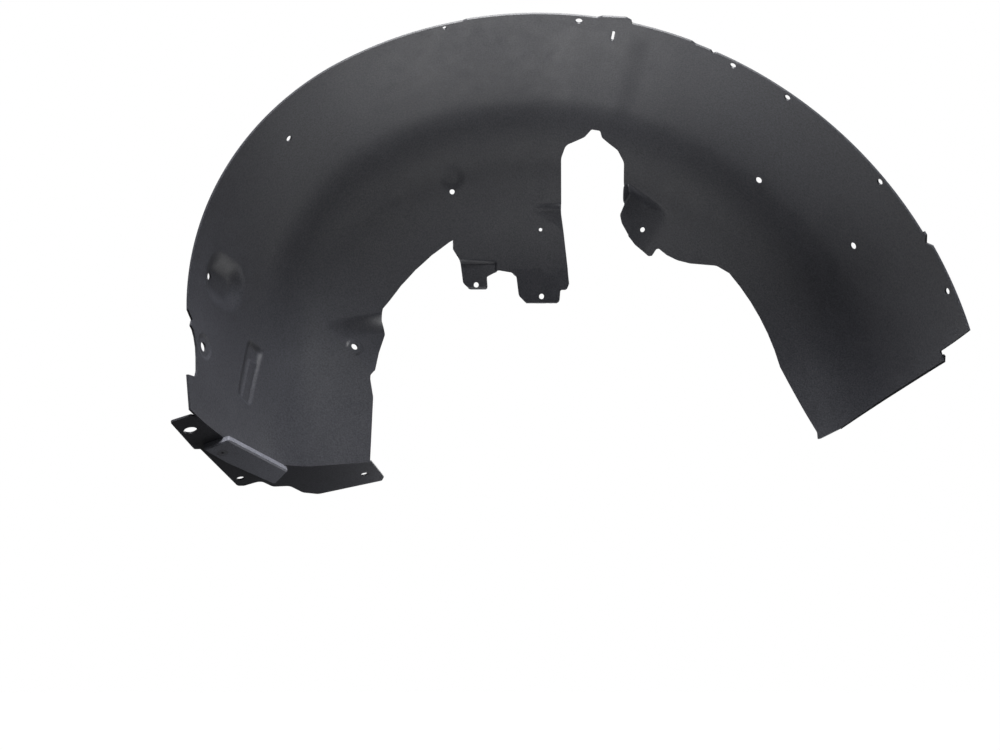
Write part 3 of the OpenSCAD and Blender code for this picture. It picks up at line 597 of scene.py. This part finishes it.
def skin_sheet():
    """The moulded sheet: fine points where it bends, coarse points elsewhere, cut to its outlines and holes."""
    lip, end, bottom = lip_row(), end_row(), bottom_row()
    chains = [lip, end, bottom]
    for outline, closed in ((WINDOW, False), (PANEL, False), (SLOT, False)):
        fine = finely(outline, 1.6, closed)
        at, miss = skin_through(fine)
        chains.append(at[miss < 0.4])
    fine = 1.25
    p = np.arange(-600.0, P_RUN + 130.0, fine)
    q = np.arange(-15.0, 380.0, fine)
    gp, gq = np.meshgrid(p, q, indexing="ij")
    point = skin(gp.ravel(), gq.ravel()).reshape(gp.shape + (3,))
    plain = skin_frame(gp.ravel(), gq.ravel())[0].reshape(gp.shape + (3,))
    move = point - plain
    bend = np.zeros(gp.shape)
    bend[1:-1, 1:-1] = np.linalg.norm(move[2:, 1:-1] + move[:-2, 1:-1] + move[1:-1, 2:] + move[1:-1, :-2]
                                      - 4 * move[1:-1, 1:-1], axis=2)

    def spread(mask, by):
        out = mask.copy()
        for axis in (0, 1):
            grown = out.copy()
            for k in range(1, by + 1):
                grown |= np.roll(out, k, axis) | np.roll(out, -k, axis)
            out = grown
        return out

    close = spread(bend > 0.03, 1)
    middle = spread(bend > 0.012, 4)
    i, j = np.meshgrid(np.arange(len(p)), np.arange(len(q)), indexing="ij")
    chosen = close | (middle & (i % 2 == 0) & (j % 2 == 0)) | ((i % 4 == 0) & (j % 4 == 0))
    at = np.stack([gp[chosen], gq[chosen]], 1)
    at = at[kept(at, lip, end, bottom)]
    at = at[apart(at, chains + HOLES, 0.9)]
    at, triangles = triangulate(at, chains, HOLES)
    triangles = triangles[kept(at[triangles].mean(1), lip, end, bottom, holes=True)]
    return sheet(skin(at[:, 0], at[:, 1]), triangles), bottom, end


def kept(at, lip, end, bottom, holes=False):
    """Which places belong to the sheet: past the lip, above the end cut and the flange, outside window, slot and holes."""
    p, q = at.T
    point = skin(p, q)
    xz = point[:, ::2]
    ok = (q > np.interp(p, *lip.T)) & (p > np.interp(q, end[:, 1], end[:, 0]))
    ok &= p < np.interp(q, bottom[:, 1], bottom[:, 0])
    ok &= point[:, 1] < 262

    def within(outline):
        result = np.zeros(len(xz), bool)
        low, high = outline.min(0), outline.max(0)
        near = ((xz > low) & (xz < high)).all(1) & ok
        if near.any():
            result[near] = inside_by(xz[near], outline) > 0
        return result

    panel = within(PANEL)
    ok &= ~(within(WINDOW) & ~panel)
    ok &= ~within(SLOT)
    if holes:
        for loop in HOLES:
            low, high = loop.min(0), loop.max(0)
            near = np.flatnonzero(((at > low) & (at < high)).all(1))
            if len(near):
                ok[near[inside_by(at[near], loop) > 0]] = False
    return ok


def flange_sheet(bottom):
    """The flat flange outside the skin's lower edge, with its bolt, screw and rivet holes."""
    edge = (skin(bottom[:, 0], bottom[:, 1]) - FLANGE_AT) @ FLANGE_AXES
    t = np.linspace(0, 2 * np.pi, 36, endpoint=False)
    circle = np.stack([np.cos(t), np.sin(t)], 1)
    holes = [circle * r + c for c, r in (((-14, 29), 6.0), ((-7, 152), 4.0), ((112, 229), 4.0), ((-1, 77), 3.2))]
    edge = edge[edge[:, 1] > -12, :2]
    at, triangles = triangulate(np.zeros((0, 2)), [edge], [finely(FLANGE, 6.0)] + holes)
    middle = at[triangles].mean(1)
    outside = middle[:, 0] < np.interp(middle[:, 1], edge[:, 1], edge[:, 0])
    ok = outside & (inside_by(middle, FLANGE) > 0)
    for hole in holes:
        ok &= inside_by(middle, hole) < 0
    points = FLANGE_AT + np.column_stack([at, np.zeros(len(at))]) @ FLANGE_AXES.T
    up = np.tile(FLANGE_AXES[:, 2], (len(np.unique(triangles[ok])), 1))
    return sheet(points, triangles[ok][:, ::-1], up)


def end_bead(end):
    """The rib along the bumper end: a square profile carried along the slanting cut, on the body side."""
    q = np.linspace(float(depth_to_q(np.float64(43.0))), float(depth_to_q(np.float64(170.0))), 60)
    p = np.interp(q, end[:, 1], end[:, 0])
    point, _, _, outward = skin_frame(p, q)
    keep = point[:, 0] > (END_CUT - END_ALONG * 41)[0]
    point, outward = point[keep], outward[keep]
    up = np.array([-END_ALONG[1], 0, END_ALONG[0]])
    ring4 = [point + outward * 1.4, point + outward * 5.0, point + outward * 5.0 + up * WALL,
             point + outward * 1.4 + up * WALL]
    n = len(point)
    points = np.concatenate(ring4)
    i = np.arange(n - 1)
    quads = [np.stack([k * n + i, k * n + i + 1, (k + 1) % 4 * n + i + 1, (k + 1) % 4 * n + i], 1) for k in range(4)]
    caps = np.array([[0, n, 2 * n, 3 * n], [4 * n - 1, 3 * n - 1, 2 * n - 1, n - 1]])
    return points, [np.concatenate(quads + [caps])]


def origin_shift():
    """The frame's origin, on the sheet's middle at the crown hole."""
    p, q = place("crown", 83.6, 6)
    point, _, _, outward = skin_frame(np.array([p]), np.array([q]))
    return (point + outward * WALL / 2)[0]


def make_piece(name, parts, material):
    """One mesh object from several closed parts, in metres, smooth but for edges sharper than a set angle."""
    points, faces, count = [], [], 0
    for part_points, groups in parts:
        for group in groups:
            faces += (group + count).tolist()
        points.append(part_points)
        count += len(part_points)
    mesh = bpy.data.meshes.new(name)
    mesh.from_pydata(((np.concatenate(points) - origin_shift()) / 1000).tolist(), [], faces)
    mesh.polygons.foreach_set("use_smooth", np.ones(len(mesh.polygons), bool))
    mesh.set_sharp_from_angle(angle=math.radians(50))
    mesh.materials.append(material)
    piece = bpy.data.objects.new(name, mesh)
    scene.collection.objects.link(piece)
    return piece


skin_part, bottom_edge, end_edge = skin_sheet()
liner = make_piece("arch_liner", [skin_part, flange_sheet(bottom_edge), end_bead(end_edge)], LINER_PLASTIC)
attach(liner, "root")
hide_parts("liner")


def area_light(name, energy, size, place, aim):
    """A soft round lamp of one size, placed and aimed in metres."""
    lamp = bpy.data.lights.new(name, "AREA")
    lamp.energy, lamp.size, lamp.shape = energy, size, "DISK"
    holder = bpy.data.objects.new(name, lamp)
    scene.collection.objects.link(holder)
    holder.location = place
    away = Vector(aim) - Vector(place)
    holder.rotation_euler = away.to_track_quat("-Z", "Y").to_euler()
    holder.visible_camera = False
    return holder


ARCH_MIDDLE = (-0.02, 0.1, -0.2)
area_light("top_lamp", 30.0, 1.0, (0.0, -0.7, 1.2), ARCH_MIDDLE)
area_light("front_lamp", 14.0, 0.9, (0.0, -1.1, 0.9), ARCH_MIDDLE)
area_light("rear_lamp", 16.0, 1.2, (-0.3, 1.5, 0.4), ARCH_MIDDLE)
area_light("crown_lamp", 0.3, 0.3, (0.0, -0.12, -0.25), (0.0, -0.07, 0.0))
area_light("sill_lamp", 0.3, 0.3, (0.25, 0.3, -0.35), (-0.35, 0.1, -0.3))
area_light("back_lamp", 0.3, 0.3, (0.0, 0.45, -0.4), ARCH_MIDDLE)
area_light("low_back_lamp", 0.9, 0.3, (0.0, 0.4, -0.55), ARCH_MIDDLE)


def pale_floor(level, half):
    """A pale ground well below the part: white to the camera, and dull to other rays so that little light comes back."""
    mesh = bpy.data.meshes.new("studio_floor")
    corners = [(-half, -half, level), (half, -half, level), (half, half, level), (-half, half, level)]
    mesh.from_pydata(corners, [], [(0, 1, 2, 3)])
    floor = bpy.data.objects.new("studio_floor", mesh)
    scene.collection.objects.link(floor)
    material, tree, shader = new_material("pale_ground")
    shader.inputs["Base Color"].default_value = (0.12, 0.12, 0.12, 1.0)
    shader.inputs["Roughness"].default_value = 0.9
    rays = tree.nodes.new("ShaderNodeLightPath")
    glow = add_node(tree, "ShaderNodeMix", {"data_type": "RGBA"},
                    {0: Shade(tree, rays.outputs["Is Camera Ray"]), 6: grey(0.0), 7: grey(1.0)}, out=2)
    tree.links.new(glow.socket, shader.inputs["Emission Color"])
    shader.inputs["Emission Strength"].default_value = 1.0
    mesh.materials.append(material)


pale_floor(-1.6, 12.0)

world = bpy.data.worlds.new("studio_air")
scene.world = world
world.use_nodes = True
sky = world.node_tree
sky.nodes.clear()
rays = sky.nodes.new("ShaderNodeLightPath")
level = Shade(sky, rays.outputs["Is Camera Ray"]) * 0.94 + 0.06
air = sky.nodes.new("ShaderNodeBackground")
air.inputs["Color"].default_value = (1.0, 1.0, 1.0, 1.0)
sky.links.new(level.socket, air.inputs["Strength"])
sky.links.new(air.outputs[0], sky.nodes.new("ShaderNodeOutputWorld").inputs["Surface"])

camera = bpy.data.cameras.new("photo_camera")
camera.sensor_width, camera.lens, camera.clip_start = 36.0, 32.4, 0.01
eye = bpy.data.objects.new("photo_camera", camera)
scene.collection.objects.link(eye)
eye.location = (-0.081896, -0.806117, -0.596425)
eye.rotation_euler = (math.radians(105.0), 0.0, 0.0)
scene.camera = eye
scene.view_settings.view_transform = "Standard"
